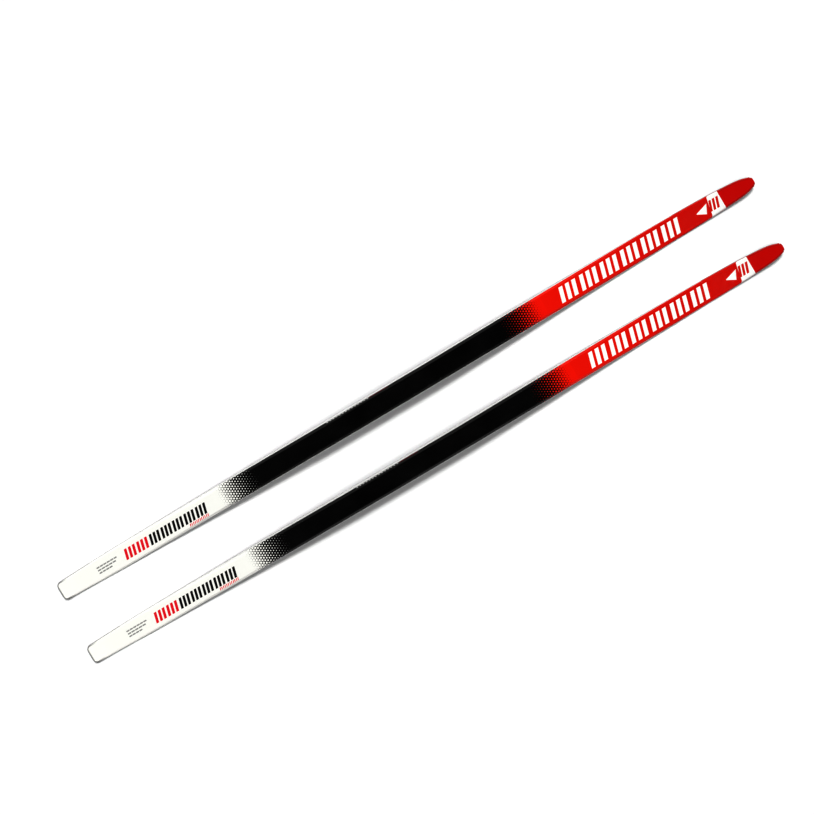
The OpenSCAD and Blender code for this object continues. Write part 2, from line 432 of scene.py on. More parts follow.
class Sketch:
    """Short calls that add nodes to one shader tree."""

    def __init__(self, tree: bpy.types.NodeTree) -> None:
        """Works on the given tree."""
        self.tree = tree

    def node(self, kind: str, **settings: object) -> bpy.types.Node:
        """Adds a node of that kind with its settings."""
        made = self.tree.nodes.new(kind)
        for key, value in settings.items():
            setattr(made, key, value)
        return made

    def feed(self, socket: Socket, value: Value) -> None:
        """Links a socket to another one, or sets its own value."""
        if isinstance(value, Socket):
            self.tree.links.new(value, socket)
        else:
            socket.default_value = value

    def math(self, operation: str, first: Value, second: Value = 0.0,
             clamp: bool = False) -> Socket:
        """A step of arithmetic on two values."""
        made = self.node("ShaderNodeMath", operation=operation, use_clamp=clamp)
        self.feed(made.inputs[0], first)
        self.feed(made.inputs[1], second)
        return made.outputs[0]

    def times(self, first: Value, second: Value) -> Socket:
        """Product of two values."""
        return self.math("MULTIPLY", first, second)

    def plus(self, first: Value, second: Value) -> Socket:
        """Sum of two values."""
        return self.math("ADD", first, second)

    def minus(self, first: Value, second: Value) -> Socket:
        """The first value less the second."""
        return self.math("SUBTRACT", first, second)

    def remap(self, value: Value, low: Value, high: Value, to_low: Value = 0.0,
              to_high: Value = 1.0, smooth: bool = False) -> Socket:
        """Takes a value from one range to another, and holds it at the ends."""
        kind = "SMOOTHSTEP" if smooth else "LINEAR"
        made = self.node("ShaderNodeMapRange", interpolation_type=kind)
        for socket, part in zip(made.inputs, (value, low, high, to_low, to_high)):
            self.feed(socket, part)
        return made.outputs[0]

    def mix(self, share: Value, first: Value, second: Value) -> Socket:
        """Blends two colours."""
        made = self.node("ShaderNodeMix", data_type="RGBA")
        self.feed(made.inputs[0], share)
        for socket, colour in ((made.inputs[6], first), (made.inputs[7], second)):
            self.feed(socket, colour if isinstance(colour, Socket) else (*colour, 1.0))
        return made.outputs[2]

    def stretched(self, vector: Socket, scale: Sequence[float]) -> Socket:
        """A vector with each axis multiplied."""
        made = self.node("ShaderNodeVectorMath", operation="MULTIPLY")
        self.feed(made.inputs[0], vector)
        self.feed(made.inputs[1], tuple(scale))
        return made.outputs[0]

    def noise(self, vector: Socket, scale: float, detail: float = 2.0,
              roughness: float = 0.5) -> Socket:
        """Smooth noise from 0 to 1."""
        made = self.node("ShaderNodeTexNoise")
        self.feed(made.inputs["Vector"], vector)
        made.inputs["Scale"].default_value = scale
        made.inputs["Detail"].default_value = detail
        made.inputs["Roughness"].default_value = roughness
        return made.outputs["Fac"]

    def streaks(self, vector: Socket, scale: Sequence[float], detail: float = 2.0,
                roughness: float = 0.5) -> Socket:
        """Noise with a scale of its own on each axis."""
        return self.noise(self.stretched(vector, scale), 1.0, detail, roughness)

    def place(self) -> Socket:
        """Place on the object, in metres."""
        return self.node("ShaderNodeTexCoord").outputs["Object"]

    def mark(self, key: str) -> Socket:
        """A value that the mesh carries at each point."""
        return self.node("ShaderNodeAttribute", attribute_name=key).outputs["Fac"]

    def bump(self, height: Socket, distance: float, strength: float = 1.0) -> Socket:
        """Normal of a surface raised by the given height."""
        made = self.node("ShaderNodeBump")
        made.inputs["Strength"].default_value = strength
        made.inputs["Distance"].default_value = distance
        self.feed(made.inputs["Height"], height)
        return made.outputs["Normal"]


@dataclass(frozen=True)
class Effect:
    """A shader node group that several finishes share, built once."""

    name: str
    inputs: tuple[tuple[str, str], ...]
    outputs: tuple[str, ...] = ("Mask",)

    def draw(self, sketch: Sketch, given: Sockets) -> Sockets:
        """Adds the effect's own nodes and returns its outputs by name."""
        raise NotImplementedError

    def tree(self) -> bpy.types.NodeTree:
        """The group's tree, made on first use."""
        found = bpy.data.node_groups.get(self.name)
        if found is not None:
            return found
        tree = bpy.data.node_groups.new(self.name, "ShaderNodeTree")
        for label, kind in self.inputs:
            tree.interface.new_socket(name=label, in_out="INPUT", socket_type=kind)
        for label in self.outputs:
            tree.interface.new_socket(name=label, in_out="OUTPUT", socket_type="NodeSocketFloat")
        sketch = Sketch(tree)
        given = {s.name: s for s in sketch.node("NodeGroupInput").outputs if s.name}
        end = sketch.node("NodeGroupOutput")
        for label, socket in self.draw(sketch, given).items():
            sketch.feed(end.inputs[label], socket)
        return tree

    def on(self, sketch: Sketch, **values: Value) -> Sockets:
        """Places the group in a material, where it finds its place and the mesh's marks itself.

        Args:
            sketch: The material's sketch.
            **values: Other input values by name, with underscores for spaces.

        Returns:
            The group's outputs by name.
        """
        made = sketch.node("ShaderNodeGroup", node_tree=self.tree())
        for socket in made.inputs:
            if socket.name == "Place":
                sketch.feed(socket, sketch.place())
            elif socket.name.lower() in MARKS:
                sketch.feed(socket, sketch.mark(socket.name.lower()))
        for key, value in values.items():
            sketch.feed(made.inputs[key.replace("_", " ").capitalize()], value)
        return {socket.name: socket for socket in made.outputs}


class Scuffs(Effect):
    """Hair lines that run with the ski, from sliding in and out of a bag."""

    def draw(self, sketch: Sketch, given: Sockets) -> Sockets:
        """Two crossing sets of stretched noise, cut down to thin lines and broken up."""
        lines = []
        for scale, low in (((9.0, 1500.0, 1500.0), 0.66), ((26.0, 620.0, 620.0), 0.70)):
            streak = sketch.streaks(given["Place"], scale)
            lines.append(sketch.remap(streak, low, low + 0.06))
        patches = sketch.remap(sketch.noise(given["Place"], 38.0, 3.0), 0.42, 0.7)
        both = sketch.math("MAXIMUM", *lines)
        shown = sketch.times(both, patches)
        return {"Mask": sketch.math("MULTIPLY", shown, given["Amount"], clamp=True)}


class RimWear(Effect):
    """Rubbed spots along the edges, where the mesh says that an edge is near."""

    def draw(self, sketch: Sketch, given: Sockets) -> Sockets:
        """Noise that eats into the rim from its outermost line."""
        ragged = sketch.noise(given["Place"], 260.0, 4.0, 0.6)
        bite = sketch.times(given["Rim"], given["Amount"])
        level = sketch.plus(bite, ragged)
        return {"Mask": sketch.remap(level, 1.02, 1.16)}


class Dust(Effect):
    """Fine specks that settle on whatever faces up."""

    def draw(self, sketch: Sketch, given: Sockets) -> Sockets:
        """Small specks and a thin cloudy veil, kept to the upward faces."""
        facing = sketch.node("ShaderNodeNewGeometry").outputs["Normal"]
        split = sketch.node("ShaderNodeSeparateXYZ")
        sketch.feed(split.inputs[0], facing)
        upward = sketch.remap(split.outputs["Z"], 0.3, 0.9)
        specks = sketch.remap(sketch.noise(given["Place"], 1400.0, 1.0), 0.74, 0.8)
        veil = sketch.remap(sketch.noise(given["Place"], 22.0, 5.0), 0.35, 0.85, 0.0, 0.35)
        layer = sketch.math("MAXIMUM", specks, veil)
        shown = sketch.times(layer, upward)
        return {"Mask": sketch.math("MULTIPLY", shown, given["Amount"], clamp=True)}


class Ripple(Effect):
    """The slight unevenness of a pressed, lacquered or moulded surface."""

    def draw(self, sketch: Sketch, given: Sockets) -> Sockets:
        """Broad waves with a finer peel on top."""
        scaled = sketch.node("ShaderNodeVectorMath", operation="SCALE")
        sketch.feed(scaled.inputs[0], given["Place"])
        sketch.feed(scaled.inputs["Scale"], given["Fineness"])
        broad = sketch.noise(scaled.outputs[0], 0.22, 1.0)
        peel = sketch.noise(scaled.outputs[0], 1.0, 3.0, 0.55)
        fine = sketch.times(peel, 0.45)
        return {"Height": sketch.plus(broad, fine)}


class Grain(Effect):
    """Growth rings, fibres and pores of wood sawn along the ski."""

    def draw(self, sketch: Sketch, given: Sockets) -> Sockets:
        """Rings bent by slow noise, with short dark pores that run with the fibre."""
        bent = sketch.streaks(given["Place"], (3.0, 60.0, 60.0), 3.0)
        wave = sketch.node("ShaderNodeTexWave", wave_type="BANDS", bands_direction="Y")
        sketch.feed(wave.inputs["Vector"], sketch.stretched(given["Place"], (4.0, 130.0, 130.0)))
        wave.inputs["Scale"].default_value = 1.0
        wave.inputs["Distortion"].default_value = 6.0
        wave.inputs["Detail"].default_value = 2.0
        rings = sketch.times(wave.outputs["Fac"], given["Contrast"])
        soft = sketch.times(bent, 0.5)
        fibre = sketch.streaks(given["Place"], (22.0, 2600.0, 2600.0))
        pores = sketch.remap(fibre, 0.62, 0.74)
        return {"Tone": sketch.math("ADD", rings, soft, clamp=True), "Pores": pores}


class DotLattice(Effect):
    """Round dots on a six-sided lattice that shrink from touching all over to nothing."""

    FULL = 0.58              # radius of the largest dots, as a share of the pitch
    BLUR = 0.08 * MM         # half the width over which a dot's edge fades

    def draw(self, sketch: Sketch, given: Sockets) -> Sockets:
        """Two rectangular lattices, shifted by half a cell each way, make the six-sided one."""
        rows = given["Pitch"]
        columns = sketch.times(rows, math.sqrt(3))
        clear = []
        for shift in (0.0, 0.5):
            x_off = self._offset(sketch, given["Along"], columns, shift)
            y_off = self._offset(sketch, given["Across"], rows, shift)
            squares = (sketch.times(part, part) for part in (x_off, y_off))
            reach = sketch.math("SQRT", sketch.plus(*squares))
            centre = sketch.minus(given["Along"], x_off)
            size = sketch.remap(centre, given["Full at"], given["Gone at"], 1.0, 0.0)
            size = sketch.math("POWER", size, given["Falloff"])
            radius = sketch.times(size, sketch.times(rows, self.FULL))
            clear.append(sketch.minus(radius, reach))
        inside = sketch.math("MAXIMUM", *clear)
        return {"Mask": sketch.remap(inside, -self.BLUR, self.BLUR)}

    @staticmethod
    def _offset(sketch: Sketch, value: Socket, pitch: Socket, shift: float) -> Socket:
        """Signed distance from the nearest line of a row of lines that pitch apart."""
        steps = sketch.plus(sketch.math("DIVIDE", value, pitch), shift)
        share = sketch.minus(steps, sketch.math("ROUND", steps))
        return sketch.times(share, pitch)


SCUFFS = Scuffs("Hair scuffs", (("Place", VECTOR), ("Amount", FLOAT)))
RIM_WEAR = RimWear("Rim wear", (("Place", VECTOR), ("Rim", FLOAT), ("Amount", FLOAT)))
DUST = Dust("Settled dust", (("Place", VECTOR), ("Amount", FLOAT)))
RIPPLE = Ripple("Surface ripple", (("Place", VECTOR), ("Fineness", FLOAT)), ("Height",))
GRAIN = Grain("Wood grain", (("Place", VECTOR), ("Contrast", FLOAT)), ("Tone", "Pores"))
DOTS = DotLattice("Print dots", tuple(
    (label, FLOAT) for label in ("Along", "Across", "Pitch", "Full at", "Gone at", "Falloff")))


# ---- finishes


def surface(colour: Socket, rough: Socket, normal: Socket | None = None) -> Sockets:
    """What varies over a surface, by shader socket."""
    varied = {"Base Color": colour, "Roughness": rough, "Normal": normal}
    return {label: socket for label, socket in varied.items() if socket is not None}


@dataclass(frozen=True)
class Finish:
    """A finish: its name, and how strongly its surface reflects."""

    name: str
    ior: float = 1.5

    def paint(self, sketch: Sketch) -> Sockets:
        """Adds the nodes that vary over the surface and returns them by shader socket."""
        raise NotImplementedError

    def material(self) -> bpy.types.Material:
        """The material, made on first use."""
        found = bpy.data.materials.get(self.name)
        if found is not None:
            return found
        made = bpy.data.materials.new(self.name)
        made.use_nodes = True
        sketch = Sketch(made.node_tree)
        shader = made.node_tree.nodes["Principled BSDF"]
        shader.inputs["IOR"].default_value = self.ior
        for label, socket in self.paint(sketch).items():
            sketch.feed(shader.inputs[label], socket)
        return made


@dataclass(frozen=True)
class Lacquer(Finish):
    """Printed film under a gloss lacquer, shared by the topsheet and its inks."""

    scuffed: float = 0.5
    rubbed: float = 0.42
    dusty: float = 0.02
    gloss_roughness: float = 0.14
    worn_tone: Colour = (0.6, 0.59, 0.57)
    dust_tone: Colour = (0.7, 0.69, 0.67)

    def ink(self, sketch: Sketch) -> Socket:
        """Colour of the print."""
        raise NotImplementedError

    def paint(self, sketch: Sketch) -> Sockets:
        """Print, hair scuffs, rubbed rims and a little dust under one gloss surface."""
        scuff = SCUFFS.on(sketch, amount=self.scuffed)["Mask"]
        worn = RIM_WEAR.on(sketch, amount=self.rubbed)["Mask"]
        dust = DUST.on(sketch, amount=self.dusty)["Mask"]
        height = RIPPLE.on(sketch, fineness=420.0)["Height"]
        colour = sketch.mix(sketch.times(worn, 0.25), self.ink(sketch), self.worn_tone)
        colour = sketch.mix(dust, colour, self.dust_tone)
        rough = sketch.times(scuff, 0.16)
        rough = sketch.plus(rough, sketch.times(worn, 0.2))
        rough = sketch.plus(rough, sketch.times(dust, 0.5))
        rough = sketch.math("ADD", rough, self.gloss_roughness, clamp=True)
        raised = sketch.minus(height, sketch.times(scuff, 0.25))
        return surface(colour, rough, sketch.bump(raised, 0.02 * MM, 0.25))


@dataclass(frozen=True)
class ZonedPrint(Lacquer):
    """The topsheet's own print: cream tail, black waist, red front and a darker red shovel.

    A grey line of painted shade follows the end of the tail and its round corners. The red's
    darkening towards the tip is painted shade, the shovel's darker red is partly painted shade, and
    its rims are darker still with painted shade.
    """

    black_from: float = 0.3584
    red_from: float = 0.931
    red_shade_settles: float = 1.30
    shovel_from: float = 1.3374
    tail_shade_width: float = 2.4 * MM
    tail_flat: float = 9.5 * MM
    tail_corner: float = 7.5 * MM
    cream_cloud: Colour = (0.80, 0.80, 0.76)
    red_cloud: Colour = (0.3, 0.0, 0.0)
    shovel_rim_shade: Colour = (0.22, 0.002, 0.002)

    def ink(self, sketch: Sketch) -> Socket:
        """Zones by distance from the tail, each with a faint cloudiness of its own."""
        along = sketch.mark("along")
        cloud = sketch.remap(sketch.noise(sketch.place(), 9.0, 3.0), 0.3, 0.7, 0.0, 0.06)
        colour = sketch.mix(cloud, Ink.CREAM.linear, self.cream_cloud)
        past_black = sketch.math("GREATER_THAN", along, self.black_from)
        colour = sketch.mix(past_black, colour, Ink.BLACK.linear)
        # painted shade: the front's red darkens from bright red to red towards the tip, for light
        # that falls off there
        fade = sketch.remap(along, self.red_from, self.red_shade_settles, smooth=True)
        red = sketch.mix(fade, Ink.BRIGHT_RED.linear, Ink.RED.linear)
        red = sketch.mix(cloud, red, self.red_cloud)
        colour = sketch.mix(sketch.math("GREATER_THAN", along, self.red_from), colour, red)
        # the shovel past the white band is darker red: its own ink and partly painted shade of the
        # upturned shovel
        past_band = sketch.math("GREATER_THAN", along, self.shovel_from)
        # painted shade: the shovel's red darkens further towards its rims
        edge = sketch.times(sketch.mark("rim"), 0.45)
        shovel = sketch.mix(edge, Ink.DARK_RED.linear, self.shovel_rim_shade)
        colour = sketch.mix(past_band, colour, shovel)
        # painted shade: a grey line along the end of the tail and round its corners
        return sketch.mix(self.tail_end_shade(sketch, along), colour, Ink.GREY.linear)

    # painted shade at the tail's end, drawn as a grey line on the print
    def tail_end_shade(self, sketch: Sketch, along: Socket) -> Socket:
        """Mask of the line that follows the end of the tail and dies out along its sides.

        Args:
            sketch: The shader being drawn.
            along: Distance from the tail.

        Returns:
            1 on the line, 0 off it.
        """
        behind = sketch.math("MAXIMUM", sketch.minus(self.tail_corner, along), 0.0)
        side = sketch.math("ABSOLUTE", sketch.mark("across"))
        beside = sketch.math("MAXIMUM", sketch.minus(side, self.tail_flat), 0.0)
        squares = sketch.times(behind, behind)
        squares = sketch.plus(squares, sketch.times(beside, beside))
        reach = sketch.math("SQRT", squares)
        line = sketch.math("GREATER_THAN", reach, self.tail_corner - self.tail_shade_width)
        fade = sketch.remap(along, self.tail_corner, 3 * self.tail_corner, 1.0, 0.0)
        return sketch.times(line, fade)


@dataclass(frozen=True)
class PlainInk(Lacquer):
    """One ink of a printed mark, with the faint unevenness of a squeegee pull."""

    colour: Ink = Ink.WHITE

    def ink(self, sketch: Sketch) -> Socket:
        """The ink with thin streaks that are a little lighter or darker."""
        streak = sketch.streaks(sketch.place(), (60.0, 900.0, 60.0))
        share = sketch.remap(streak, 0.35, 0.75, 0.0, 0.05)
        return sketch.mix(share, self.colour.linear, tuple(0.55 * c for c in self.colour.linear))


def plain_ink(ink: Ink) -> PlainInk:
    """The finish of one ink."""
    return PlainInk(f"{ink.name.title()} ink", colour=ink)


@dataclass(frozen=True)
class DotFade(Lacquer):
    """A fade of dots from one ink into another."""

    dots: Ink = Ink.CREAM
    full_at: float = 0.0
    gone_at: float = 0.1
    falloff: float = 1.0
    pitch: float = 4.95 * MM

    def ink(self, sketch: Sketch) -> Socket:
        """Dots of the lighter ink on black."""
        spread = {"full_at": self.full_at, "gone_at": self.gone_at, "falloff": self.falloff}
        mask = DOTS.on(sketch, pitch=self.pitch, **spread)["Mask"]
        return sketch.mix(mask, Ink.BLACK.linear, self.dots.linear)


@dataclass(frozen=True)
class MilledPlastic(Finish):
    """ABS plastic of the sides and spacers, planed along its length."""

    colour: Colour = (0.84, 0.84, 0.82)
    shade: Colour = (0.70, 0.70, 0.68)
    soiled: float = 0.10
    worn_tone: Colour = (0.45, 0.44, 0.42)
    dust_tone: Colour = (0.6, 0.59, 0.56)

    def paint(self, sketch: Sketch) -> Sockets:
        """Cutter marks along the ski, a cloudy tone and dust on the rims."""
        place = sketch.place()
        cutter = sketch.streaks(place, (14.0, 1700.0, 2300.0), 3.0)
        chatter = sketch.streaks(place, (420.0, 20.0, 20.0), 1.0)
        cloud = sketch.remap(sketch.noise(place, 30.0, 4.0), 0.3, 0.75)
        worn = RIM_WEAR.on(sketch, amount=0.45)["Mask"]
        dust = DUST.on(sketch, amount=self.soiled)["Mask"]
        colour = sketch.mix(sketch.times(cloud, 0.35), self.colour, self.shade)
        colour = sketch.mix(sketch.times(worn, 0.18), colour, self.worn_tone)
        colour = sketch.mix(dust, colour, self.dust_tone)
        rough = sketch.remap(cutter, 0.3, 0.7, 0.34, 0.5)
        height = sketch.plus(cutter, sketch.times(chatter, 0.35))
        return surface(colour, rough, sketch.bump(height, 0.03 * MM, 0.5))


@dataclass(frozen=True)
class GroundBase(Finish):
    """Black sintered polyethylene with the fine lines of a stone grind, waxed."""

    black: Colour = (0.010, 0.010, 0.011)
    haze: Colour = (0.026, 0.026, 0.028)
    scratched: Colour = (0.22, 0.22, 0.22)

    def paint(self, sketch: Sketch) -> Sockets:
        """Grind lines along the ski, wax haze and a few scratches."""
        place = sketch.place()
        lines = sketch.streaks(place, (7.0, 2300.0, 2300.0), 3.0, 0.6)
        slant = sketch.streaks(place, (45.0, 1300.0, 1300.0), 1.0)
        haze = sketch.remap(sketch.noise(place, 26.0, 4.0), 0.35, 0.75)
        scuff = SCUFFS.on(sketch, amount=0.8)["Mask"]
        worn = RIM_WEAR.on(sketch, amount=0.4)["Mask"]
        colour = sketch.mix(sketch.times(haze, 0.5), self.black, self.haze)
        pale = sketch.plus(sketch.times(scuff, 0.12), sketch.times(worn, 0.2))
        colour = sketch.mix(pale, colour, self.scratched)
        rough = sketch.plus(sketch.remap(haze, 0.0, 1.0, 0.3, 0.46), sketch.times(scuff, 0.15))
        height = sketch.plus(lines, sketch.times(slant, 0.5))
        return surface(colour, rough, sketch.bump(height, 0.05 * MM, 0.7))


@dataclass(frozen=True)
class GlassResin(Finish):
    """Glass cloth in epoxy: yellow-green, with fibre bundles along and across."""

    resin: Colour = (0.30, 0.33, 0.20)
    fibre: Colour = (0.58, 0.60, 0.46)

    def paint(self, sketch: Sketch) -> Sockets:
        """Bundles that cross each other, with clear resin between them."""
        place = sketch.place()
        bundles = []
        for scale in ((3.0, 1100.0, 1100.0), (800.0, 3.0, 1400.0)):
            bundles.append(sketch.streaks(place, scale))
        weave = sketch.remap(sketch.math("MAXIMUM", *bundles), 0.45, 0.75)
        colour = sketch.mix(weave, self.resin, self.fibre)
        rough = sketch.remap(weave, 0.0, 1.0, 0.25, 0.5)
        return surface(colour, rough, sketch.bump(weave, 0.04 * MM, 0.6))


@dataclass(frozen=True)
class SawnWood(Finish):
    """Wood of the core, sawn and sanded."""

    light: Colour = (0.70, 0.52, 0.32)
    dark: Colour = (0.48, 0.31, 0.16)
    contrast: float = 0.6

    def paint(self, sketch: Sketch) -> Sockets:
        """Rings and pores of the shared grain in this wood's colours."""
        grain = GRAIN.on(sketch, contrast=self.contrast)
        colour = sketch.mix(grain["Tone"], self.light, self.dark)
        pores = sketch.times(grain["Pores"], 0.5)
        colour = sketch.mix(pores, colour, tuple(0.5 * part for part in self.dark))
        height = sketch.minus(grain["Tone"], grain["Pores"])
        rough = sketch.remap(grain["Tone"], 0.0, 1.0, 0.62, 0.48)
        return surface(colour, rough, sketch.bump(height, 0.05 * MM, 0.6))


@dataclass(frozen=True)
class StudioPaper(Finish):
    """The white sweep that the skis lie on."""

    white: Colour = (0.90, 0.90, 0.90)
    cloud: Colour = (0.92, 0.92, 0.92)

    def paint(self, sketch: Sketch) -> Sockets:
        """Nearly even white with a faint cloudiness."""
        cloud = sketch.remap(sketch.noise(sketch.place(), 3.0, 3.0), 0.3, 0.7)
        colour = sketch.mix(cloud, self.white, self.cloud)
        return surface(colour, sketch.remap(cloud, 0.0, 1.0, 0.7, 0.8))


WHITE_SIDE = MilledPlastic("White milled ABS")
# painted shade: the tail spacer is dark grey so that its sides read as the shade along the tail's
# outline
TAIL_SHADE_GREY = MilledPlastic("Grey ABS as painted tail shade", colour=(0.20, 0.20, 0.20), shade=(0.13, 0.13, 0.13))
# the tip spacer's dark red is its red plastic and partly painted shade along the shovel's edge
RED_TIP = MilledPlastic("Dark red ABS with painted edge shade", colour=(0.36, 0.01, 0.01), shade=(0.25, 0.005, 0.005))
BASE = GroundBase("Ground running base", ior=1.51)
GLASS = GlassResin("Glass cloth in epoxy", ior=1.55)
POPLAR = SawnWood("Poplar core")
BEECH = SawnWood("Beech blocks", light=(0.52, 0.30, 0.17), dark=(0.34, 0.17, 0.09), contrast=0.4)
PRINT = ZonedPrint("Topsheet print")


# ---- pieces


def dress(solid: SolidBuilder, name: str, finish: Finish) -> bpy.types.Object:
    """Builds a piece and gives it its finish and body.

    Args:
        solid: The mesh so far.
        name: Name of the piece, without the side.
        finish: Its finish.

    Returns:
        The piece.
    """
    side = solid.shape.side
    piece = solid.build(side.named(name))
    piece.data.materials.append(finish.material())
    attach(piece, side.body)
    return piece


# ---- printed marks


@dataclass(frozen=True)
class StrokeRow:
    """A row of blocks, each cut into strokes that lean towards the tip on their +Y side."""

    first: float
    last: float
    centre: float
    height: float
    lean: float
    blocks: int = 1
    block_gap: float = 0.0
    strokes: int = 1
    stroke_gap: float = 0.0

    def outlines(self) -> list[Corners]:
        """Corners of every stroke: low tail, low tip, high tip and high tail."""
        run = self.last - self.first - self.lean
        block = (run - self.block_gap * (self.blocks - 1)) / self.blocks
        width = (block - self.stroke_gap * (self.strokes - 1)) / self.strokes
        low, high = self.centre - self.height / 2, self.centre + self.height / 2
        made = []
        for i in range(self.blocks):
            for j in range(self.strokes):
                start = self.first + i * (block + self.block_gap) + j * (width + self.stroke_gap)
                end, lean = start + width, self.lean
                made.append(((start, low), (end, low), (end + lean, high), (start + lean, high)))
        return made


@dataclass
class Print:
    """The films of ink on one ski."""

    shape: SkiShape
    ink_depth: float = 0.02 * MM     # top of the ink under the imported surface
    over_depth: float = 0.005 * MM   # top of an ink that is printed over another one
    root_depth: float = 0.14 * MM    # underside of the ink, inside the topsheet
    cell: float = 5 * MM             # longest side of a cell of the films' grids
    band_columns: int = 41
    flat_share: float = 0.6          # part of these columns that lies on the flat
    foot_gap: float = 0.3 * MM       # distance that a band keeps from the foot of the bevel
    band_first: float = 1.3084       # white band of the shovel, where it begins at -Y
    band_lean: float = 10 * MM
    band_last: float = 1.3374

    def patch(self, solid: SolidBuilder, corners: Corners, depth: float) -> None:
        """Adds one four-sided film.

        Args:
            solid: The builder that takes it.
            corners: Low tail, low tip, high tip and high tail corners as (along, reach across).
            depth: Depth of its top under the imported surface.
        """
        low_tail, low_tip, high_tip, high_tail = np.array(corners)
        wide = max(abs(low_tip[0] - low_tail[0]), abs(high_tip[0] - high_tail[0]))
        tall = max(abs(high_tip[1] - low_tip[1]), abs(high_tail[1] - low_tail[1]))
        u = np.linspace(0, 1, max(2, math.ceil(wide / self.cell) + 1))[:, None, None]
        v = np.linspace(0, 1, max(2, math.ceil(tall / self.cell) + 1))[None, :, None]
        low, high = (1 - u) * low_tail + u * low_tip, (1 - u) * high_tail + u * high_tip
        grid = (1 - v) * low + v * high
        x, reach = grid[..., 0], grid[..., 1]
        near = self.shape.cap_at(x, reach, depth)
        far = self.shape.cap_at(x, reach, self.root_depth)
        solid.add(x, near, far)

    def marks(self, name: str, ink: Ink, outlines: Sequence[Corners], over: bool = False) -> None:
        """Makes one object of several four-sided films in one ink.

        Args:
            name: Name of the piece, without the side.
            ink: The ink.
            outlines: The corners of each film.
            over: Whether they are printed over another ink.
        """
        solid = SolidBuilder(self.shape)
        for corners in outlines:
            self.patch(solid, corners, self.over_depth if over else self.ink_depth)
        dress(solid, name, plain_ink(ink))

    def band(self, name: str, first: float, last: float, lean: float, finish: Finish) -> None:
        """Makes a film over the full width, bevels included.

        Args:
            name: Name of the piece, without the side.
            first: Where it begins at the -Y edge.
            last: Where it ends.
            lean: How much later it begins at the +Y edge.
            finish: Its finish.
        """
        count = max(2, math.ceil((last - first) / self.cell) + 1)
        share = np.linspace(-1, 1, self.band_columns)[None, :]
        u = np.linspace(0, 1, count)[:, None]
        begin = first + lean * (share + 1) / 2
        x = begin + (last - begin) * u
        near, far = (self._across(x, share, depth) for depth in (self.ink_depth, self.root_depth))
        solid = SolidBuilder(self.shape)
        solid.add(x, near, far)
        dress(solid, name, finish)

    def _across(self, x: np.ndarray, share: np.ndarray, depth: float) -> np.ndarray:
        """Points of a line over the whole cap that stops short of both feet."""
        foot = self.shape.bevel_reach(x, depth)[1] - self.foot_gap
        flat = self.shape.flat_y(x, depth)
        on_flat = np.minimum(np.abs(share) / self.flat_share, 1.0)
        on_bevel = np.maximum(np.abs(share) - self.flat_share, 0.0) / (1 - self.flat_share)
        reach = flat * on_flat + (foot - flat) * on_bevel
        return self.shape.cap_at(x, np.sign(share) * reach, depth)

    def build(self) -> None:
        """Makes every film of the ski."""
        self.fades()
        self.tail_marks()
        self.front_marks()
        self.edge_marks()

    def fades(self) -> None:
        """Dots from the cream tail into the black waist, and from there into the red front."""
        tail = DotFade("Cream dots", dots=Ink.CREAM, full_at=0.323, gone_at=0.405, falloff=1.15)
        front = DotFade("Red dots", dots=Ink.BRIGHT_RED, full_at=0.974, gone_at=0.891, falloff=1.15)
        self.band("tail_dots", 0.314, 0.405, 0.0, tail)
        self.band("front_dots", 0.888, 0.980, 0.0, front)
        log.info("%s: two fades of dots", self.shape.side.value)

    def tail_marks(self) -> None:
        """Leaning blocks in red and black, a small red bar and three fine grey lines."""
        tall, middle, lean = 18.8 * MM, -0.9 * MM, 5 * MM
        red = StrokeRow(0.1290, 0.1800, middle, tall, lean,
                        blocks=2, block_gap=4 * MM, strokes=3, stroke_gap=3.2 * MM)
        black = StrokeRow(0.1800, 0.2990, middle, tall, lean,
                          blocks=5, block_gap=4 * MM, strokes=3, stroke_gap=3.0 * MM)
        self.marks("red_tail_blocks", Ink.MARK_RED, red.outlines())
        self.marks("black_tail_blocks", Ink.BLACK, black.outlines())
        bar = StrokeRow(0.2560, 0.2950, -14 * MM, 5 * MM, 1.5 * MM,
                        blocks=6, block_gap=2 * MM, strokes=2, stroke_gap=1.7 * MM)
        self.marks("small_red_bar", Ink.MARK_RED, bar.outlines())
        lines = []
        for last, level, dashes in ((0.1165, 4.2, 6), (0.1120, -0.9, 5), (0.1020, -6.0, 4)):
            row = StrokeRow(0.0755, last, level * MM, 2.3 * MM, 0.3 * MM,
                            blocks=dashes, block_gap=1.1 * MM)
            lines.extend(row.outlines())
        self.marks("grey_tail_lines", Ink.GREY, lines)
        log.info("%s: marks of the tail", self.shape.side.value)

    def front_marks(self) -> None:
        """Six white blocks, a white arrow, and the shovel's white band with three red bars."""
        blocks = StrokeRow(1.0085, 1.2565, 0.0, 27.3 * MM, 7.6 * MM,
                           blocks=6, block_gap=8 * MM, strokes=3, stroke_gap=5 * MM)
        self.marks("white_front_blocks", Ink.WHITE, blocks.outlines())
        arrow = ((1.2880, -1.2 * MM), (1.3035, -9.5 * MM), (1.3115, 7.5 * MM), (1.2880, 0.2 * MM))
        self.marks("white_arrow", Ink.WHITE, [arrow])
        white = plain_ink(Ink.WHITE)
        self.band("white_band", self.band_first, self.band_last, self.band_lean, white)
        bars = StrokeRow(1.3105, 1.3345, 0.0, 19 * MM, 6 * MM, blocks=3, block_gap=2.6 * MM)
        self.marks("red_band_bars", Ink.RED, bars.outlines(), over=True)
        log.info("%s: marks of the front", self.shape.side.value)

    def edge_marks(self) -> None:
        """White dashes and a red bar along the bevel on the +Y side."""
        begin, end = self.shape.bevel_reach(np.array(0.6), self.ink_depth)
        centre = float(begin) * 0.3 + float(end) * 0.7
        height, lean = 1.4 * MM, 0.6 * MM
        dashes = StrokeRow(0.5530, 0.6370, centre, height, lean, blocks=14, block_gap=3.2 * MM)
        self.marks("white_edge_dashes", Ink.WHITE, dashes.outlines())
        bar = StrokeRow(0.6385, 0.6765, centre, height, lean)
        self.marks("red_edge_bar", Ink.MAROON, bar.outlines())
        log.info("%s: marks of the edge", self.shape.side.value)


# ---- layers of a ski


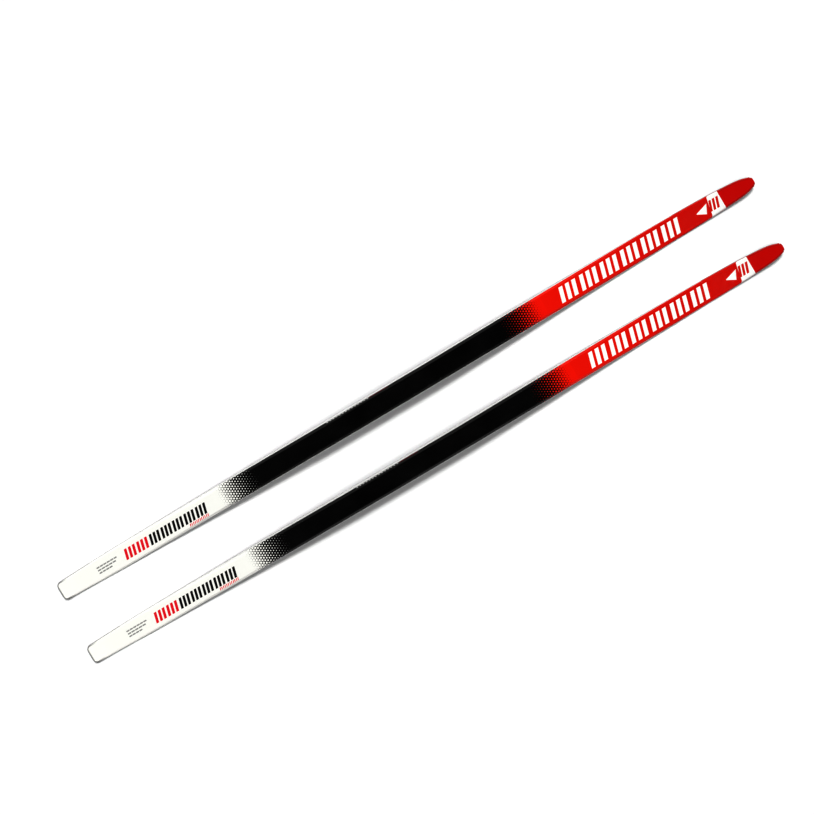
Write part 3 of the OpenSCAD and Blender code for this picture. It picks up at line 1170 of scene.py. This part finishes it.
@dataclass
class Ski:
    """One ski: its layers from the base up, and the materials of what is sealed inside."""

    side: Side
    shape: SkiShape
    nodes: dict[str, bpy.types.Object]
    core_first: float = 70 * MM
    core_last: float = 1250 * MM
    seam: float = 0.10 * MM          # easing of the edges where two layers meet
    rim: float = 0.8 * MM            # strip beside each bend of the topsheet that wears

    def build(self) -> None:
        """Makes every piece of the ski."""
        self.topsheet()
        for flank in Flank:
            self.sidewall(flank)
        self.spacer("tail_spacer", 0.0, self.core_first, TAIL_SHADE_GREY)
        self.spacer("tip_spacer", self.core_last, self.shape.length, RED_TIP)
        self.lower_laminate()
        self.base()
        self.inner_parts()
        Print(self.shape).build()

    def finished(self, solid: SolidBuilder, node: str, finish: Finish) -> None:
        """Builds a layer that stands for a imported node.

        Args:
            solid: The mesh so far.
            node: Name of the node, without the side.
            finish: Finish of the layer.
        """
        piece = dress(solid, f"{node}_layer", finish)
        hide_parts(self.side.named(node))
        log.info("%s: %s, %d faces", self.side.value, node, len(piece.data.polygons))

    def slab(self, x: np.ndarray, near: list, far: list, rims: Sequence[float]) -> SolidBuilder:
        """A closed solid between two half sections, mirrored to the whole width."""
        near_grid, far_grid = both_ways(grid_of(near)), both_ways(grid_of(far))
        solid = SolidBuilder(self.shape)
        solid.add(x[:, None], near_grid, far_grid, [*rims, *rims[-2::-1]])
        return solid

    def cap_half(self, x: np.ndarray, depth: float) -> list[tuple[np.ndarray, np.ndarray]]:
        """Half section of the bevelled cap at one depth, from its foot to the centreline."""
        shape = self.shape
        begin, end = shape.bevel_reach(x, depth)
        flat = shape.flat_y(x, depth)
        seat, foot = shape.seat(x), shape.foot_y(x, depth)
        reaches = [end - 0.18 * MM, end - self.rim, begin + self.rim]
        reaches += [begin + (flat - begin) * share for share in np.linspace(0, 1, 6)]
        reaches += [flat - 1.5 * self.rim, flat / 2, flat * 0]
        points = [(foot - 0.16 * MM, seat), (foot - 0.09 * MM, seat + 0.03 * MM)]
        for reach in reaches:
            point = shape.cap_at(x, reach, depth)
            points.append((point[..., 0], point[..., 1]))
        return points

    def topsheet(self) -> None:
        """The printed sheet: flat top, round bend, bevel and a fine cut edge."""
        x = self.shape.places(0.0, self.shape.length)
        near = self.cap_half(x, self.shape.skin)
        far = self.cap_half(x, self.shape.sheet)
        rims = (1, 1, 1, 0, 0, 0.8, 0.9, 1, 1, 0.9, 0.8, 0, 0, 0)
        self.finished(self.slab(x, near, far, rims), "topsheet", PRINT)

    def sidewall(self, flank: Flank) -> None:
        """One leaning white side with eased edges.

        Args:
            flank: The side of the ski on which it stands.
        """
        shape, seam = self.shape, self.seam
        x = shape.places(self.core_first, self.core_last)
        floor = shape.under(x) + shape.base_t + shape.laminate_t
        seat = shape.seat(x)
        inner_y = shape.foot_y(x, shape.cap)
        levels = [
            (floor, seam), (floor + 0.3 * seam, 0.3 * seam), (floor + seam, 0.0),
            (floor * 0.7 + seat * 0.3, 0.0), (floor * 0.3 + seat * 0.7, 0.0),
            (seat - seam, 0.0), (seat - 0.3 * seam, 0.3 * seam), (seat, seam),
        ]
        sign = flank.value
        near = grid_of([(sign * (shape.side_y(x, z) - inset), z) for z, inset in levels])
        far = grid_of([(sign * inner_y, z) for z, _ in levels])
        solid = SolidBuilder(shape)
        solid.add(x[:, None], near, far, (1, 1, 1, 0, 0, 1, 1, 1))
        self.finished(solid, f"{flank.part(self.side)}_sidewall", WHITE_SIDE)

    def spacer(self, node: str, first: float, last: float, finish: Finish) -> None:
        """The solid plastic that fills one end of the ski.

        Args:
            node: Name of its node, without the side.
            first: Where it begins.
            last: Where it ends.
            finish: Its finish.
        """
        shape, seam = self.shape, self.seam
        x = shape.places(first, last, 4 * MM)
        floor = shape.under(x) + shape.base_t + shape.laminate_t
        seat, roof = shape.seat(x), shape.top(x) - shape.cap
        low_y, high_y = shape.side_y(x, floor), shape.side_y(x, seat)
        foot_y, flat_y = shape.foot_y(x, shape.cap), shape.flat_y(x, shape.cap)
        near = [
            (low_y - seam, floor), (low_y, floor + seam), (high_y, seat - seam),
            (high_y - seam, seat), (foot_y, seat), (flat_y, roof), (flat_y * 0, roof),
        ]
        far = [(low_y - inset * seam, floor) for inset in (2, 4, 6, 8)]
        far += [(foot_y - seam, floor), (flat_y - seam, floor), (flat_y * 0, floor)]
        solid = self.slab(x, near, far, (1, 1, 1, 1, 0, 0, 0))
        self.finished(solid, node, finish)

    def lower_laminate(self) -> None:
        """The glass layer above the base, a hair narrower than its neighbours."""
        shape = self.shape
        x = shape.places(0.0, shape.length)
        low = shape.under(x) + shape.base_t
        high = low + shape.laminate_t
        recess = 0.5 * self.seam
        near, far = (
            [(shape.side_y(x, z) - recess, z), (shape.side_y(x, z) - 5 * MM, z), (z * 0, z)]
            for z in (low, high)
        )
        solid = self.slab(x, near, far, (1, 0, 0))
        self.finished(solid, "lower_laminate", GLASS)

    def base(self) -> None:
        """The running base with eased edges and its guide groove."""
        shape, seam = self.shape, self.seam
        x = shape.places(0.0, shape.length)
        under, wide, deep = shape.under(x), shape.half_width(x), shape.groove_depth(x)
        top, half = under + shape.base_t, shape.groove_half
        top_y = shape.side_y(x, top)
        near = [
            (top_y - seam, top), (top_y, top - seam), (wide, under + 2.5 * seam),
            (wide - 0.7 * seam, under + 0.7 * seam), (wide - 2.5 * seam, under),
            (wide - 12 * seam, under), (half + 6 * seam, under), (half + 1.5 * seam, under),
            (half, under + 0.2 * deep), (half - 2 * seam, under + 0.75 * deep),
            (half - 5 * seam, under + deep), (half / 2, under + deep), (wide * 0, under + deep),
        ]
        far = [(top_y - inset * seam, top) for inset in (2, 3, 4, 5, 6, 12)]
        far += [(half + offset * seam + wide * 0, top) for offset in (6, 1.5, 0, -2, -5)]
        far += [(half / 2 + wide * 0, top), (wide * 0, top)]
        rims = (0, 0, 1, 1, 1, 0, 0, 0.6, 0.6, 0, 0, 0, 0)
        self.finished(self.slab(x, near, far, rims), "base", BASE)

    def inner_parts(self) -> None:
        """Gives the sealed parts their own materials: wood, hardwood and glass."""
        finishes = {
            "upper_laminate": GLASS,
            "outer_stringer": POPLAR,
            "centre_stringer": POPLAR,
            "inner_stringer": POPLAR,
            "binding_blocks": BEECH,
        }
        for part, finish in finishes.items():
            node = self.nodes[self.side.named(part)]
            for material_slot in node.material_slots:
                material_slot.material = finish.material()
            log.info("%s: %s keeps its packed shape", self.side.value, part)


# ---- studio


@dataclass(frozen=True)
class Lamp:
    """A far, broad light that casts soft shadows and leaves no hot spot on the gloss."""

    name: str
    direction: tuple[float, float, float]
    angle: float
    strength: float

    def build(self) -> None:
        """Hangs the light, shining from its direction."""
        lamp = bpy.data.lights.new(self.name, "SUN")
        lamp.angle = math.radians(self.angle)
        lamp.energy = self.strength
        light = bpy.data.objects.new(self.name, lamp)
        light.rotation_euler = Vector(self.direction).to_track_quat("Z", "Y").to_euler()
        light.visible_glossy = False
        bpy.context.scene.collection.objects.link(light)


@dataclass(frozen=True)
class Studio:
    """Floor, lights and surroundings."""

    floor_rings: tuple[float, ...] = (0.5, 1.5, 5.0, 25.0)
    floor_spokes: int = 48
    lamps: tuple[Lamp, ...] = (
        Lamp("key_light", direction=(0.22, 0.38, 1.0), angle=12.0, strength=2.55),
        Lamp("top_light", direction=(0.05, -0.14, 1.0), angle=14.0, strength=0.76),
    )
    wall_direction: tuple[float, float, float] = (0.25, 0.95, 0.18)
    wall_light: float = 0.85
    dim_light: float = 0.40
    opening_light: float = 0.12
    diffuse_share: float = 0.45
    backdrop: float = 1.05
    contrast: float = 1.6

    def build(self) -> None:
        """Makes the studio."""
        self.floor()
        for lamp in self.lamps:
            lamp.build()
        self.surroundings()
        view = bpy.context.scene.view_settings
        view.view_transform = "Standard"
        view.look = "None"
        view.gamma = 1 / self.contrast
        log.info("studio: floor, %d lights and surroundings", len(self.lamps))

    def floor(self) -> None:
        """A round white floor at the height on which the skis rest."""
        work = bmesh.new()
        turns = [math.tau * i / self.floor_spokes for i in range(self.floor_spokes)]
        rows = [
            [work.verts.new((radius * math.cos(a), radius * math.sin(a), 0.0)) for a in turns]
            for radius in self.floor_rings
        ]
        work.faces.new(rows[0])
        for inner, outer in zip(rows, rows[1:]):
            for i in range(self.floor_spokes):
                work.faces.new((inner[i - 1], outer[i - 1], outer[i], inner[i]))
        mesh = bpy.data.meshes.new("studio_floor")
        work.to_mesh(mesh)
        work.free()
        floor = bpy.data.objects.new("studio_floor", mesh)
        mesh.materials.append(StudioPaper("Studio paper").material())
        bpy.context.scene.collection.objects.link(floor)

    def surroundings(self) -> None:
        """Soft walls, brighter on the key light's side, with a dark opening overhead.

        The gloss shows them in full, matt surfaces get a share of their light, and the camera
        sees a plain pale backdrop in their place.
        """
        world = bpy.data.worlds.new("studio")
        bpy.context.scene.world = world
        world.use_nodes = True
        sketch = Sketch(world.node_tree)
        lit = world.node_tree.nodes["Background"]
        way = sketch.node("ShaderNodeTexCoord").outputs["Generated"]
        along = sketch.node("ShaderNodeVectorMath", operation="DOT_PRODUCT")
        sketch.feed(along.inputs[0], way)
        along.inputs[1].default_value = Vector(self.wall_direction).normalized()
        glow = sketch.remap(along.outputs["Value"], 0.1, 0.95, self.dim_light, self.wall_light,
                            smooth=True)
        split = sketch.node("ShaderNodeSeparateXYZ")
        sketch.feed(split.inputs[0], way)
        shade = sketch.remap(split.outputs["Z"], 0.90, 0.96, 1.0, self.opening_light, smooth=True)
        rays = sketch.node("ShaderNodeLightPath").outputs
        share = sketch.remap(rays["Is Diffuse Ray"], 0.0, 1.0, 1.0, self.diffuse_share)
        shown = sketch.times(glow, sketch.times(shade, share))
        sketch.feed(lit.inputs["Strength"], shown)
        lit.inputs["Color"].default_value = (1.0, 1.0, 1.0, 1.0)
        plain = sketch.node("ShaderNodeBackground")
        plain.inputs["Color"].default_value = (1.0, 1.0, 1.0, 1.0)
        plain.inputs["Strength"].default_value = self.backdrop
        choice = sketch.node("ShaderNodeMixShader")
        sketch.feed(choice.inputs[0], rays["Is Camera Ray"])
        sketch.feed(choice.inputs[1], lit.outputs[0])
        sketch.feed(choice.inputs[2], plain.outputs[0])
        out = world.node_tree.nodes["World Output"]
        sketch.feed(out.inputs["Surface"], choice.outputs[0])


@dataclass(frozen=True)
class ViewPoint:
    """The camera: nearly overhead, a little towards +Y, turned so that the tips point up right."""

    lean_x: float = 0.02
    lean_y: float = 0.055
    roll: float = math.radians(30.71)
    distance: float = 3.4
    aim: tuple[float, float, float] = (-0.008, 0.0309, 0.020)
    lens: float = 86.621
    sensor: float = 36.0

    def build(self) -> None:
        """Makes the camera and looks through it."""
        back = Vector((self.lean_x, self.lean_y, 1.0)).normalized()
        level = Vector((1.0, 0.0, 0.0))
        level = (level - back * level.dot(back)).normalized()
        upright = back.cross(level)
        cosine, sine = math.cos(self.roll), math.sin(self.roll)
        right = level * cosine - upright * sine
        up = level * sine + upright * cosine
        data = bpy.data.cameras.new("camera")
        data.sensor_fit = "AUTO"
        data.sensor_width = self.sensor
        data.lens = self.lens
        data.clip_end = 100.0
        camera = bpy.data.objects.new("camera", data)
        turn = Matrix((right, up, back)).transposed().to_4x4()
        camera.matrix_world = Matrix.Translation(Vector(self.aim) + back * self.distance) @ turn
        bpy.context.scene.collection.objects.link(camera)
        bpy.context.scene.camera = camera
        log.info("camera: %.1f mm lens at %.2f m", data.lens, self.distance)


def main() -> None:
    """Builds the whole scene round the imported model."""
    logging.basicConfig(level=logging.INFO, format="%(message)s")
    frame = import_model()
    ViewPoint().build()
    for side in Side:
        shape = SkiShape(side, frame["nodes"])
        log.info("%s: %.1f mm long", side.value, shape.length / MM)
        Ski(side, shape, frame["nodes"]).build()
    Studio().build()


if __name__ == "__main__":
    main()
